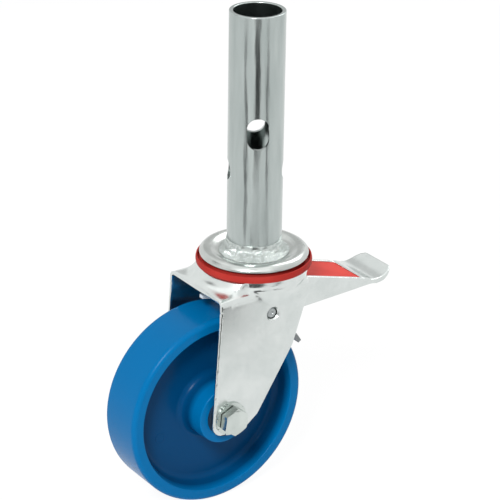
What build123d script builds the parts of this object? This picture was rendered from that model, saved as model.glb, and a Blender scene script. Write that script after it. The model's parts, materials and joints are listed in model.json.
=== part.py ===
from build123d import *
from math import cos, radians, sin, sqrt, tan
import os

os.makedirs("parts", exist_ok=True)

# Scaffold castor, in millimetres. The origin is on the swivel axis at the foot of the bare stem.
# +Z runs up the stem and +X towards the brake pedal, so the wheel trails towards -X.

# Overall
sheet = 3.0  # pressed steel of the fork and the lever
crown_gap = 18.6  # air between the crown and the tread
lap = 0.1  # how far solids of one piece run into each other

# Stem
stem_length = 175.0
stem_radius = 20.5
stem_wall = 3.0
stem_foot_wall = 2.0  # the foot is turned thinner, outside and inside
stem_foot_turn = 0.5
stem_chamfer = 0.6
lead_in_height = 27.0  # sized end that enters the scaffold tube first
lead_in_turn = 0.05
weld_height = 10.0
weld_width = 4.2
weld_crown_width = 3.3
weld_crown_height = 5.5
slot_width = 16.0
slot_height = 24.0
slot_z = 87.7
slot_angle = -120.0
pin_hole_radius = 8.0
pin_hole_z = 54.5
pin_hole_angle = -30.0

# Swivel head, stacked downwards from the shoulder
cap_radius = 40.8
cap_flat_radius = 33.0
cap_thickness = 3.6
cap_edge_drop = 1.4
cap_edge_thickness = 1.0
cap_edge_flare = 3.0
cap_dome_reach = 2.6
cap_dome_drop = 0.5
cap_hub_radius = 13.0
cap_seat_depth = 0.4
cap_seat_margin = 0.6
spigot_height = 8.0
spigot_gap = 0.1
ball_radius = 3.0
groove_play = 0.3
upper_pitch_radius = 31.0
upper_ball_count = 14
upper_race_gap = 2.4
upper_race_thickness = 3.0
upper_race_width = 9.0
lower_pitch_radius = 23.0
lower_ball_count = 12
lower_race_gap = 5.0
lower_race_thickness = 5.0
lower_race_radius = 29.0
lower_race_chamfer = 1.5
seal_radius = 43.6
seal_height = 4.2
seal_foot_draft = 0.4
seal_top_draft = 0.6
seal_lip_radius = 39.0
seal_lip_slant = 0.6
seal_lip_width = 1.6
king_radius = 8.0
king_across_flats = 24.0
king_head_height = 9.0
king_nut_height = 7.5
bolt_clearance = 0.1
bolt_chamfer = 1.0
hex_bevel_angle = 23.0
hex_face_margin = 0.4

# Swivel lock
lock_teeth = 24
lock_ring_radius = 30.8
lock_ring_thickness = 3.0
lock_slot_depth = 5.6
lock_slot_width = 4.8
pawl_thickness = 4.0
pawl_tooth = 4.4
pawl_play = 0.6
pawl_length = 23.0
pawl_nose_height = 6.0
pawl_nose_drop = 1.3
pawl_root_height = 6.0
pawl_tooth_height = 4.0
pawl_tooth_slant = 2.0
pawl_back_drop = 3.0
pawl_waist_reach = 9.0
pawl_waist_rise = 1.6

# Fork
fork_width = 70.0
crown_front = 51.8
crown_back = 27.0
crown_bend_radius = 5.0
drum_radius = 40.2
drum_height = 8.4
drum_edge_radius = 2.0
swell_height = 14.0
swell_lip = 6.5
swell_waist_drop = 8.2
swell_waist_reach = 3.0
swell_inside_rise = 1.0
hub_hole_gap = 3.0
leg_end_radius = 9.0
leg_front_lean = 7.4
leg_end_drop = 16.3
leg_toe_rise = 1.0
leg_end_back = 9.0
leg_knee_back = 25.0
leg_knee_drop = 3.5
leg_waist_back = 56.0
leg_waist_rise = 46.0
leg_shoulder_drop = 8.0

# Wheel
wheel_radius = 75.0
tread_width = 40.0
tread_corner = 3.7
rim_thickness = 9.0
rim_lip_radius = 1.2
rim_draft = 4.0
web_thickness = 11.0
web_fillet = 5.5
hub_radius = 22.5
hub_draft = 1.5
hub_length = 58.0
hub_edge_radius = 1.0
trail = 43.5

# Axle and wheel bearing
axle_radius = 6.0
axle_across_flats = 19.0
axle_head_height = 7.5
axle_head_turn = 12.0
axle_nut_height = 7.4
axle_nut_turn = 5.0
nut_collar_radius = 8.3
nut_collar_height = 2.6
axle_thread_end = 4.0
lock_washer_radius = 13.0
lock_washer_notches = 28
notch_width = 1.4
notch_depth = 1.3
notch_slant = 45.0
washer_radius = 12.0
washer_thickness = 1.8
sleeve_radius = 9.0
roller_radius = 2.0
roller_count = 12
roller_play = 0.1
cage_wall = 2.6
cage_end = 3.0
hub_cap_radius = 16.0
hub_cap_flange = 2.5
hub_cap_depth = 5.0
hub_cap_clearance = 0.05
cap_gap = 0.3

# Brake lever
pivot_x = -6.3
pivot_drop = 20.6  # below the top of the crown
pivot_radius = 4.42
pivot_hole_radius = 4.5
pivot_inset = 1.2
pin_chamfer = 0.7
centre_mark_radius = 1.5
centre_mark_depth = 1.2
lever_width = 41.0
lever_bend_radius = 3.5
ear_radius = 8.0
lever_front = 17.7
front_web_drop = 1.0
flange_knee_reach = 24.0
flange_knee_rise = 8.5
lever_peak_reach = 42.0
lever_peak_rise = 14.2
heel_reach = 40.5
heel_drop = 11.4
pad_start_reach = 97.3
pad_start_drop = 1.0
pad_dip_run = 10.7  # from the pad's start to its lowest point
pad_dip = 4.2
pad_run = 26.3  # from the pad's start to its tip
pad_tip_rise = 2.6
pad_entry = (0.92, -0.38)
pad_exit = (0.86, 0.5)
pad_tip_slant = 0.8
pad_tip_cut = 2.6
pad_belly_run = 6.0
pad_belly_rise = 1.3
pad_corner_radius = 7.0
channel_end_rise = 1.2
insert_wall = 2.5
insert_gap = 0.3
insert_recess = 0.9
insert_lift = 0.1
spacer_radius = 7.5
side_gap = 0.3

# Brake shoe
brake_angle = 7.0
brake_clearance = 0.4
shoe_thickness = 3.0
shoe_width = 34.0
shoe_start_angle = 31.0
shoe_end_angle = 71.0
shoe_foot_lap = 9.6
shoe_foot_length = 27.6
shoe_rivet_radius = 2.5
shoe_rivet_spacing = 18.0
rivet_head_radius = 4.2
rivet_head_height = 1.6
rivet_chamfer = 0.8
rivet_clearance = 0.05

# Heights and places that follow
cap_face_z = -weld_height
stem_seat_z = cap_face_z - cap_seat_depth
stem_bore_radius = stem_radius - stem_wall
stem_foot_radius = stem_radius - stem_foot_turn
stem_foot_bore = stem_foot_radius - stem_foot_wall
cap_under_z = cap_face_z - cap_thickness
drum_top_z = cap_under_z - upper_race_gap - upper_race_thickness
drum_under_z = drum_top_z - sheet
lower_race_z = drum_under_z - lower_race_gap
lock_ring_z = lower_race_z - lower_race_thickness
king_nut_z = lock_ring_z - lock_ring_thickness
king_end_z = king_nut_z - king_nut_height
crown_top_z = drum_top_z - drum_height
crown_under_z = crown_top_z - sheet
floor_z = crown_under_z - crown_gap - 2 * wheel_radius
upper_ball_z = (cap_under_z + drum_top_z + upper_race_thickness) / 2
lower_ball_z = (drum_under_z + lower_race_z) / 2
axle_z = floor_z + wheel_radius
axle_x = -trail
pivot_z = crown_top_z - pivot_drop
fork_inner = fork_width / 2 - sheet
axle_point = (axle_x, 0, axle_z)
wheel_axis = Axis(axle_point, (0, 1, 0))


def across(y):
    """A plane square to the wheel's axle, looking along +Y, centred on the swivel axis."""
    return Plane(origin=(0, y, 0), x_dir=(1, 0, 0), z_dir=(0, -1, 0))


def axle_plane(y):
    """A plane square to the axle and centred on it, whose normal is +Y."""
    return Plane(origin=(axle_x, y, axle_z), x_dir=(1, 0, 0), z_dir=(0, 1, 0))


def hex_section(flats, seat, height):
    """Half section whose cone bevels a hexagon standing on seat. A negative height goes the other way."""
    face_radius = flats / 2 - hex_face_margin
    drop = (flats - face_radius) * tan(radians(hex_bevel_angle))
    drop = drop if height > 0 else -drop
    end = seat + height
    return (0, seat), (flats, seat), (flats, end - drop), (face_radius, end), (0, end)


def rings(part, radius):
    """The part's round edges of that radius."""
    return part.edges().filter_by(GeomType.CIRCLE).filter_by(lambda e: abs(e.radius - radius) < lap)


# Stem: a tube whose foot is turned thinner, with a sized end, a slot and a round pin hole across it
with BuildPart() as stem_tube:
    with BuildSketch(Plane.XY):
        Circle(stem_radius)
    extrude(amount=stem_length - lead_in_height)
    with BuildSketch(Plane.XY.offset(stem_length - lead_in_height)):
        Circle(stem_radius - lead_in_turn)
    extrude(amount=lead_in_height)
    with BuildSketch(Plane.XY.offset(stem_seat_z)):
        Circle(stem_foot_radius)
    extrude(amount=-stem_seat_z)
    with BuildSketch(Plane.XY.offset(stem_seat_z)):
        Circle(stem_foot_bore)
    extrude(amount=-stem_seat_z, mode=Mode.SUBTRACT)
    with BuildSketch(Plane.XY):
        Circle(stem_bore_radius)
    extrude(amount=stem_length, mode=Mode.SUBTRACT)
    chamfer(stem_tube.edges().group_by(Axis.Z)[-1], stem_chamfer)
    slot_direction = (cos(radians(slot_angle)), sin(radians(slot_angle)), 0)
    with BuildSketch(Plane(origin=(0, 0, slot_z), x_dir=(0, 0, 1), z_dir=slot_direction)):
        SlotOverall(slot_height, slot_width)
    extrude(amount=2 * stem_radius, both=True, mode=Mode.SUBTRACT)
    pin_direction = (cos(radians(pin_hole_angle)), sin(radians(pin_hole_angle)), 0)
    with BuildSketch(Plane(origin=(0, 0, pin_hole_z), z_dir=pin_direction)):
        Circle(pin_hole_radius)
    extrude(amount=2 * stem_radius, both=True, mode=Mode.SUBTRACT)
stem_tube.part.label = "stem_tube"
export_step(stem_tube.part, "parts/stem_tube.step")

# Weld bead between the stem and the shoulder
with BuildPart() as stem_weld:
    with BuildSketch(Plane.XZ):
        with BuildLine():
            bead_foot = (stem_radius + weld_width, stem_seat_z)
            bead_top = (stem_radius, 0)
            bead_crown = (stem_radius + weld_crown_width, cap_face_z + weld_crown_height)
            Polyline(bead_top, (stem_foot_radius, 0), (stem_foot_radius, stem_seat_z), bead_foot)
            ThreePointArc(bead_foot, bead_crown, bead_top)
        make_face()
    revolve(axis=Axis.Z)
stem_weld.part.label = "stem_weld"
export_step(stem_weld.part, "parts/stem_weld.step")

# Shoulder cap: the load plate with its hub, a spigot in the stem's foot and the upper ball groove
with BuildPart() as top_cap:
    cap_edge_z = cap_face_z - cap_edge_drop
    seat_radius = stem_radius + weld_width + cap_seat_margin
    spigot_radius = stem_foot_bore - spigot_gap
    spigot_bore = spigot_radius - sheet
    with BuildSketch(Plane.XZ):
        with BuildLine():
            bore = king_radius + bolt_clearance
            rim_top = (cap_radius, cap_edge_z)
            flat_end = (cap_flat_radius, cap_face_z)
            Polyline(
                (bore, stem_seat_z),
                (spigot_bore, stem_seat_z),
                (spigot_bore, stem_seat_z + spigot_height),
                (spigot_radius, stem_seat_z + spigot_height),
                (spigot_radius, stem_seat_z),
                (seat_radius, stem_seat_z),
                (seat_radius, cap_face_z),
                flat_end,
            )
            ThreePointArc(flat_end, (cap_radius - cap_dome_reach, cap_face_z - cap_dome_drop), rim_top)
            Polyline(
                rim_top,
                (cap_radius, cap_edge_z - cap_edge_thickness),
                (cap_radius - cap_edge_flare, cap_under_z),
                (cap_hub_radius, cap_under_z),
                (cap_hub_radius, lower_race_z),
                (bore, lower_race_z),
                (bore, stem_seat_z),
            )
        make_face()
    revolve(axis=Axis.Z)
    with BuildSketch(Plane.XZ):
        with Locations((upper_pitch_radius, upper_ball_z)):
            Circle(ball_radius + groove_play)
    revolve(axis=Axis.Z, mode=Mode.SUBTRACT)
top_cap.part.label = "top_cap"
export_step(top_cap.part, "parts/top_cap.step")

# King bolt, its head inside the foot of the stem
with BuildPart() as king_bolt:
    with BuildSketch(Plane.XY.offset(stem_seat_z)):
        RegularPolygon(king_across_flats / 2, 6, major_radius=False)
    extrude(amount=king_head_height)
    with BuildSketch(Plane.XZ):
        with BuildLine():
            Polyline(hex_section(king_across_flats, stem_seat_z, king_head_height), close=True)
        make_face()
    revolve(axis=Axis.Z, mode=Mode.INTERSECT)
    with BuildSketch(Plane.XY.offset(stem_seat_z)):
        Circle(king_radius)
    extrude(amount=king_end_z - stem_seat_z)
    chamfer(king_bolt.edges().group_by(Axis.Z)[0], bolt_chamfer)
king_bolt.part.label = "king_bolt"
export_step(king_bolt.part, "parts/king_bolt.step")

# Nut under the swivel lock ring
with BuildPart() as king_nut:
    with BuildSketch(Plane.XY.offset(king_nut_z)):
        RegularPolygon(king_across_flats / 2, 6, major_radius=False)
    extrude(amount=-king_nut_height)
    with BuildSketch(Plane.XZ):
        with BuildLine():
            Polyline(hex_section(king_across_flats, king_nut_z, -king_nut_height), close=True)
        make_face()
    revolve(axis=Axis.Z, mode=Mode.INTERSECT)
    with BuildSketch(Plane.XY.offset(king_nut_z)):
        Circle(king_radius + bolt_clearance)
    extrude(amount=-king_nut_height, mode=Mode.SUBTRACT)
king_nut.part.label = "king_nut"
export_step(king_nut.part, "parts/king_nut.step")

# Lower race, clamped between the cap's hub and the lock ring
with BuildPart() as lower_race:
    with BuildSketch(Plane.XY.offset(lock_ring_z)):
        Circle(lower_race_radius)
        Circle(king_radius + bolt_clearance, mode=Mode.SUBTRACT)
    extrude(amount=lower_race_thickness)
    chamfer(lower_race.edges().group_by(Axis.Z)[0].sort_by(SortBy.LENGTH)[-1], lower_race_chamfer)
    with BuildSketch(Plane.XZ):
        with Locations((lower_pitch_radius, lower_ball_z)):
            Circle(ball_radius + groove_play)
    revolve(axis=Axis.Z, mode=Mode.SUBTRACT)
lower_race.part.label = "lower_race"
export_step(lower_race.part, "parts/lower_race.step")

# Toothed plate that the brake's pawl locks into
with BuildPart() as lock_ring:
    with BuildSketch(Plane.XY.offset(king_nut_z)):
        Circle(lock_ring_radius)
        Circle(king_radius + bolt_clearance, mode=Mode.SUBTRACT)
        with PolarLocations(lock_ring_radius, lock_teeth, start_angle=180):
            Rectangle(2 * lock_slot_depth, lock_slot_width, mode=Mode.SUBTRACT)
    extrude(amount=lock_ring_thickness)
lock_ring.part.label = "lock_ring"
export_step(lock_ring.part, "parts/lock_ring.step")

# Swell where the drawn crown overhangs the fork's legs
with BuildPart() as crown_swell:
    swell_top_z = drum_top_z - swell_lip
    swell_foot_z = swell_top_z - swell_height
    with BuildSketch(Plane.XZ):
        with BuildLine():
            swell_edge = (drum_radius, swell_top_z)
            swell_foot = (fork_width / 2, swell_foot_z)
            swell_waist = (fork_width / 2 + swell_waist_reach, swell_top_z - swell_waist_drop)
            ThreePointArc(swell_edge, swell_waist, swell_foot)
            Polyline(
                swell_foot,
                (0, swell_foot_z),
                (0, drum_under_z),
                (drum_radius, drum_under_z),
                swell_edge,
            )
        make_face()
    revolve(axis=Axis.Z)
    with BuildSketch(across(0)):
        with Locations((0, (drum_top_z + swell_foot_z) / 2)):
            Rectangle(3 * drum_radius, 2 * (drum_top_z - swell_foot_z))
    extrude(amount=fork_inner, both=True, mode=Mode.SUBTRACT)

# Fork: one pressed sheet, two legs under a crown drawn up into a drum
with BuildPart() as fork:
    leg_bottom_z = axle_z - leg_end_drop
    front_foot_x = -crown_front - leg_front_lean
    with BuildSketch(across(0)) as fork_side:
        with BuildLine():
            Polyline(
                (-crown_front, crown_top_z),
                (front_foot_x, leg_bottom_z + leg_toe_rise),
                (axle_x + leg_end_back, leg_bottom_z),
                (axle_x + leg_knee_back, axle_z - leg_knee_drop),
                (axle_x + leg_waist_back, axle_z + leg_waist_rise),
                (crown_back, crown_top_z - leg_shoulder_drop),
                (crown_back, crown_top_z),
                close=True,
            )
        make_face()
        toe_corners = fork_side.vertices().sort_by(Axis.Y)[:2]
        fillet(toe_corners, leg_end_radius)
    extrude(amount=fork_width / 2, both=True)
    fillet(fork.edges().filter_by(Axis.X).group_by(Axis.Z)[-1], crown_bend_radius)
    with BuildSketch(across(0)):
        with Locations((0, (crown_under_z + floor_z) / 2)):
            Rectangle(6 * crown_front, crown_under_z - floor_z)
    extrude(amount=fork_inner, both=True, mode=Mode.SUBTRACT)
    fillet(fork.edges().filter_by(Axis.X).group_by(Axis.Z)[-2], crown_bend_radius - sheet)
    add(crown_swell.part)
    with BuildSketch(Plane.XY.offset(crown_top_z - lap)):
        Circle(drum_radius)
    extrude(amount=drum_height + lap)
    fillet(fork.edges().group_by(Axis.Z)[-1], drum_edge_radius)
    with BuildSketch(Plane.XZ):
        with BuildLine():
            inside_edge = (swell_edge[0] - sheet, swell_edge[1] + swell_inside_rise)
            inside_waist = (swell_waist[0] - sheet, swell_waist[1] + swell_inside_rise)
            inside_foot = (swell_foot[0] - sheet, swell_foot[1] + swell_inside_rise)
            Polyline(
                inside_foot,
                (inside_foot[0], swell_foot_z - sheet),
                (0, swell_foot_z - sheet),
                (0, drum_under_z),
                (inside_edge[0], drum_under_z),
                inside_edge,
            )
            ThreePointArc(inside_edge, inside_waist, inside_foot)
        make_face()
    revolve(axis=Axis.Z, mode=Mode.SUBTRACT)
    with BuildSketch(Plane.XY.offset(drum_under_z)):
        Circle(cap_hub_radius + hub_hole_gap)
    extrude(amount=sheet, mode=Mode.SUBTRACT)
    with BuildSketch(Plane.XZ):
        with Locations((lower_pitch_radius, lower_ball_z)):
            Circle(ball_radius + bolt_clearance)
    revolve(axis=Axis.Z, mode=Mode.SUBTRACT)
    with BuildSketch(across(0)):
        with Locations((axle_x, axle_z)):
            Circle(axle_radius + bolt_clearance)
        with Locations((pivot_x, pivot_z)):
            Circle(pivot_hole_radius)
    extrude(amount=fork_width, both=True, mode=Mode.SUBTRACT)
fork.part.label = "fork"
export_step(fork.part, "parts/fork.step")

# Upper race ring, on the fork's drum
with BuildPart() as upper_race:
    with BuildSketch(Plane.XY.offset(drum_top_z)):
        Circle(upper_pitch_radius + upper_race_width / 2)
        Circle(upper_pitch_radius - upper_race_width / 2, mode=Mode.SUBTRACT)
    extrude(amount=upper_race_thickness)
    with BuildSketch(Plane.XZ):
        with Locations((upper_pitch_radius, upper_ball_z)):
            Circle(ball_radius + bolt_clearance)
    revolve(axis=Axis.Z, mode=Mode.SUBTRACT)
upper_race.part.label = "upper_race"
export_step(upper_race.part, "parts/upper_race.step")

# Two rows of balls
with BuildPart() as upper_balls:
    with Locations((0, 0, upper_ball_z)):
        with PolarLocations(upper_pitch_radius, upper_ball_count):
            Sphere(ball_radius)
upper_balls.part.label = "upper_balls"
export_step(upper_balls.part, "parts/upper_balls.step")

with BuildPart() as lower_balls:
    with Locations((0, 0, lower_ball_z)):
        with PolarLocations(lower_pitch_radius, lower_ball_count):
            Sphere(ball_radius)
lower_balls.part.label = "lower_balls"
export_step(lower_balls.part, "parts/lower_balls.step")

# Dust seal round the upper balls, under the rim of the cap
with BuildPart() as dust_seal:
    seal_inner = upper_pitch_radius + upper_race_width / 2 + cap_gap
    with BuildSketch(Plane.XZ):
        with BuildLine():
            seal_foot = (seal_radius - seal_foot_draft, drum_top_z)
            seal_shelf = (seal_radius - seal_top_draft, drum_top_z + seal_height)
            lip_edge = (seal_lip_radius - seal_lip_slant, cap_under_z - cap_gap)
            ThreePointArc(seal_foot, (seal_radius, drum_top_z + seal_height / 2), seal_shelf)
            Polyline(
                seal_shelf,
                (seal_lip_radius, drum_top_z + seal_height),
                lip_edge,
                (lip_edge[0] - seal_lip_width, lip_edge[1]),
                (seal_inner, drum_top_z),
                seal_foot,
            )
        make_face()
    revolve(axis=Axis.Z)
dust_seal.part.label = "dust_seal"
export_step(dust_seal.part, "parts/dust_seal.step")

# Wheel: one moulding with a dished web
with BuildPart() as wheel:
    rim_inner = wheel_radius - rim_thickness
    half_tread = tread_width / 2
    half_web = web_thickness / 2
    half_hub = hub_length / 2
    hub_bore = sleeve_radius + 2 * roller_radius + 2 * roller_play
    with BuildSketch(Plane(origin=axle_point)) as wheel_section:
        with BuildLine():
            Polyline(
                (hub_bore, 0),
                (hub_bore, half_hub),
                (hub_radius, half_hub),
                (hub_radius + hub_draft, half_web),
                (rim_inner - rim_draft, half_web),
                (rim_inner, half_tread),
                (wheel_radius, half_tread),
                (wheel_radius, 0),
                close=True,
            )
        make_face()
        web_corners = wheel_section.vertices().filter_by_position(Axis.Y, half_web - lap, half_web + lap)
        fillet(web_corners, web_fillet)
        mirror(about=Plane.XZ)
    revolve(axis=wheel_axis)
    fillet(rings(wheel, wheel_radius), tread_corner)
    fillet(rings(wheel, rim_inner), rim_lip_radius)
    fillet(rings(wheel, hub_radius), hub_edge_radius)
wheel.part.label = "wheel"
export_step(wheel.part, "parts/wheel.step")

# Roller bearing in the hub: sleeve on the axle, cage and rollers
cage_half = half_hub - hub_cap_depth - cap_gap
roller_pitch = sleeve_radius + roller_play + roller_radius
with BuildPart() as axle_sleeve:
    with BuildSketch(axle_plane(0)):
        Circle(sleeve_radius)
        Circle(axle_radius + bolt_clearance, mode=Mode.SUBTRACT)
    extrude(amount=fork_inner, both=True)
axle_sleeve.part.label = "axle_sleeve"
export_step(axle_sleeve.part, "parts/axle_sleeve.step")

with BuildPart() as roller_cage:
    with BuildSketch(axle_plane(0)):
        Circle(roller_pitch + cage_wall / 2)
        Circle(roller_pitch - cage_wall / 2, mode=Mode.SUBTRACT)
    extrude(amount=cage_half, both=True)
    with BuildSketch(axle_plane(0)):
        with PolarLocations(roller_pitch, roller_count):
            Rectangle(2 * cage_wall, 2 * (roller_radius + roller_play))
    extrude(amount=cage_half - cage_end, both=True, mode=Mode.SUBTRACT)
roller_cage.part.label = "roller_cage"
export_step(roller_cage.part, "parts/roller_cage.step")

with BuildPart() as rollers:
    with BuildSketch(axle_plane(0)):
        with PolarLocations(roller_pitch, roller_count):
            Circle(roller_radius)
    extrude(amount=cage_half - cage_end - roller_play, both=True)
rollers.part.label = "rollers"
export_step(rollers.part, "parts/rollers.step")

# Flanged caps that close the hub's ends
with BuildPart() as hub_caps:
    for side in (1, -1):
        with BuildSketch(axle_plane(side * (half_hub - hub_cap_depth))):
            Circle(hub_bore - hub_cap_clearance)
            Circle(sleeve_radius + cap_gap, mode=Mode.SUBTRACT)
        extrude(amount=side * hub_cap_depth)
        with BuildSketch(axle_plane(side * half_hub)):
            Circle(hub_cap_radius)
            Circle(sleeve_radius + cap_gap, mode=Mode.SUBTRACT)
        extrude(amount=side * hub_cap_flange)
hub_caps.part.label = "hub_caps"
export_step(hub_caps.part, "parts/hub_caps.step")

# Axle bolt with its head on the near leg
leg_face = fork_width / 2
head_seat = leg_face + washer_thickness
with BuildPart() as axle_bolt:
    with BuildSketch(axle_plane(-head_seat)):
        RegularPolygon(axle_across_flats / 2, 6, major_radius=False, rotation=axle_head_turn)
    extrude(amount=-axle_head_height)
    with BuildSketch(Plane(origin=axle_point)):
        with BuildLine():
            Polyline(hex_section(axle_across_flats, -head_seat, -axle_head_height), close=True)
        make_face()
    revolve(axis=wheel_axis, mode=Mode.INTERSECT)
    with BuildSketch(axle_plane(-head_seat)):
        Circle(axle_radius)
    extrude(amount=2 * head_seat + axle_nut_height + nut_collar_height + axle_thread_end)
    chamfer(axle_bolt.edges().group_by(Axis.Y)[-1], bolt_chamfer)
axle_bolt.part.label = "axle_bolt"
export_step(axle_bolt.part, "parts/axle_bolt.step")

# Its nut, with the round collar of a self-locking one
with BuildPart() as axle_nut:
    nut_end = head_seat + axle_nut_height
    with BuildSketch(axle_plane(head_seat)):
        RegularPolygon(axle_across_flats / 2, 6, major_radius=False, rotation=axle_nut_turn)
    extrude(amount=axle_nut_height)
    with BuildSketch(Plane(origin=axle_point)):
        with BuildLine():
            Polyline(hex_section(axle_across_flats, head_seat, axle_nut_height), close=True)
        make_face()
    revolve(axis=wheel_axis, mode=Mode.INTERSECT)
    with BuildSketch(axle_plane(nut_end)):
        Circle(nut_collar_radius)
    extrude(amount=nut_collar_height)
    fillet(axle_nut.edges().group_by(Axis.Y)[-1], nut_collar_height / 2)
    with BuildSketch(axle_plane(head_seat)):
        Circle(axle_radius + bolt_clearance)
    extrude(amount=axle_nut_height + nut_collar_height, mode=Mode.SUBTRACT)
axle_nut.part.label = "axle_nut"
export_step(axle_nut.part, "parts/axle_nut.step")

# Serrated washer under the head, plain washer under the nut
with BuildPart() as axle_washers:
    with BuildSketch(axle_plane(-head_seat)):
        Circle(lock_washer_radius)
        Circle(axle_radius + bolt_clearance, mode=Mode.SUBTRACT)
        with PolarLocations(lock_washer_radius, lock_washer_notches):
            Rectangle(notch_width, notch_depth, rotation=notch_slant, mode=Mode.SUBTRACT)
    extrude(amount=washer_thickness)
    with BuildSketch(axle_plane(leg_face)):
        Circle(washer_radius)
        Circle(axle_radius + bolt_clearance, mode=Mode.SUBTRACT)
    extrude(amount=washer_thickness)
axle_washers.part.label = "axle_washers"
export_step(axle_washers.part, "parts/axle_washers.step")

# Pin that carries the brake lever, set a little below the legs' faces, with a centre mark
with BuildPart() as pivot_pin:
    pin_half = leg_face - pivot_inset
    with BuildSketch(Plane(origin=(pivot_x, -pin_half, pivot_z), z_dir=(0, 1, 0))):
        Circle(pivot_radius)
    extrude(amount=2 * pin_half)
    chamfer(rings(pivot_pin, pivot_radius), pin_chamfer)
    for side in (1, -1):
        with BuildSketch(Plane(origin=(pivot_x, side * pin_half, pivot_z), z_dir=(0, side, 0))):
            Circle(centre_mark_radius)
        extrude(amount=-centre_mark_depth, mode=Mode.SUBTRACT)
pivot_pin.part.label = "pivot_pin"
export_step(pivot_pin.part, "parts/pivot_pin.step")

# Spacers that centre the lever between the legs
with BuildPart() as pivot_spacers:
    spacer_start = lever_width / 2 + side_gap
    for side in (1, -1):
        with BuildSketch(Plane(origin=(pivot_x, side * spacer_start, pivot_z), z_dir=(0, side, 0))):
            Circle(spacer_radius)
            Circle(pivot_hole_radius, mode=Mode.SUBTRACT)
        extrude(amount=fork_inner - spacer_start)
pivot_spacers.part.label = "pivot_spacers"
export_step(pivot_spacers.part, "parts/pivot_spacers.step")

# Brake lever: a channel open upwards, ending in a scooped foot pad
peak = (pivot_x + lever_peak_reach, pivot_z + lever_peak_rise)
heel = (pivot_x + heel_reach, pivot_z - heel_drop)
pad_start = (pivot_x + pad_start_reach, pivot_z - pad_start_drop)
pad_low = (pad_start[0] + pad_dip_run, pad_start[1] - pad_dip)
pad_tip = (pad_start[0] + pad_run, pad_start[1] + pad_tip_rise)
pad_under = (pad_low[0], pad_low[1] - sheet)
channel_end = (pad_start[0] - sheet, pad_low[1] + channel_end_rise)
web_x = pivot_x - lever_front
lever_inner = lever_width / 2 - sheet
ear_foot = (pivot_x, pivot_z - ear_radius)
under_slope = (ear_foot[1] - heel[1]) / (ear_foot[0] - heel[0])


def under_lever(x, drop=0.0):
    """A point of the side view, on the line under the lever's root or below it by drop."""
    return (x, heel[1] + under_slope * (x - heel[0]) - drop)


# The shoe's arc fits the tread when the pedal is down: at rest its centre is the axle turned about the pivot
brake_turn = radians(brake_angle)
trail_x = axle_x - pivot_x
trail_z = axle_z - pivot_z
arc_x = pivot_x + trail_x * cos(brake_turn) - trail_z * sin(brake_turn)
arc_z = pivot_z + trail_x * sin(brake_turn) + trail_z * cos(brake_turn)
shoe_inner = wheel_radius + brake_clearance
shoe_outer = shoe_inner + shoe_thickness
foot_start_x = arc_x + sqrt(shoe_outer ** 2 - (ear_foot[1] - arc_z) ** 2)
foot_end_x = foot_start_x + shoe_foot_length
floor_start_x = foot_start_x + shoe_foot_lap
rivet_x = (floor_start_x + foot_end_x) / 2
rivet_z = under_lever(rivet_x)[1]
rivet_plane = Plane(origin=(rivet_x, 0, rivet_z), x_dir=(1, 0, under_slope), z_dir=(-under_slope, 0, 1))
with BuildPart() as brake_lever:
    with BuildSketch(across(0)):
        with BuildLine():
            Polyline(
                (web_x, pivot_z - front_web_drop),
                (web_x, pivot_z + ear_radius - front_web_drop),
                (pivot_x, pivot_z + ear_radius),
                (pivot_x + flange_knee_reach, pivot_z + flange_knee_rise),
                peak,
                pad_start,
                pad_low,
                pad_under,
                heel,
                ear_foot,
                close=True,
            )
        make_face()
    extrude(amount=lever_width / 2, both=True)
    bend_x = (heel[0] + pad_under[0]) / 2
    fillet(brake_lever.edges().filter_by(lambda e: abs(e.center().X - bend_x) < lap), lever_bend_radius)
    with BuildSketch(across(0)):
        with BuildLine():
            Polyline(
                (web_x + sheet, pivot_z - 2 * ear_radius),
                (web_x + sheet, peak[1] + sheet),
                (channel_end[0], peak[1] + sheet),
                channel_end,
                (heel[0], heel[1] + sheet),
                under_lever(floor_start_x, -sheet),
                (floor_start_x, pivot_z - 2 * ear_radius),
                close=True,
            )
        make_face()
    extrude(amount=lever_inner, both=True, mode=Mode.SUBTRACT)
    with BuildSketch(across(0)):
        with BuildLine():
            tip_under = (pad_tip[0] + pad_tip_slant, pad_tip[1] - pad_tip_cut)
            Spline(pad_start, pad_low, pad_tip, tangents=[pad_entry, pad_exit])
            Line(pad_tip, tip_under)
            ThreePointArc(tip_under, (pad_under[0] + pad_belly_run, pad_under[1] + pad_belly_rise), pad_under)
            Line(pad_under, pad_start)
        make_face()
    extrude(amount=lever_width / 2, both=True)
    with BuildSketch(Plane.XY.offset(floor_z)) as lever_plan:
        Rectangle(2 * (pad_tip[0] + pad_tip_slant), lever_width)
        fillet(lever_plan.vertices().group_by(Axis.X)[-1], pad_corner_radius)
    extrude(amount=-2 * floor_z, mode=Mode.INTERSECT)
    with BuildSketch(across(0)):
        with Locations((pivot_x, pivot_z)):
            Circle(pivot_hole_radius)
    extrude(amount=lever_width, both=True, mode=Mode.SUBTRACT)
    with BuildSketch(rivet_plane):
        with GridLocations(1, shoe_rivet_spacing, 1, 2):
            Circle(shoe_rivet_radius + rivet_clearance)
    extrude(amount=2 * sheet, mode=Mode.SUBTRACT)
brake_lever.part.label = "brake_lever"
export_step(brake_lever.part, "parts/brake_lever.step")

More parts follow.
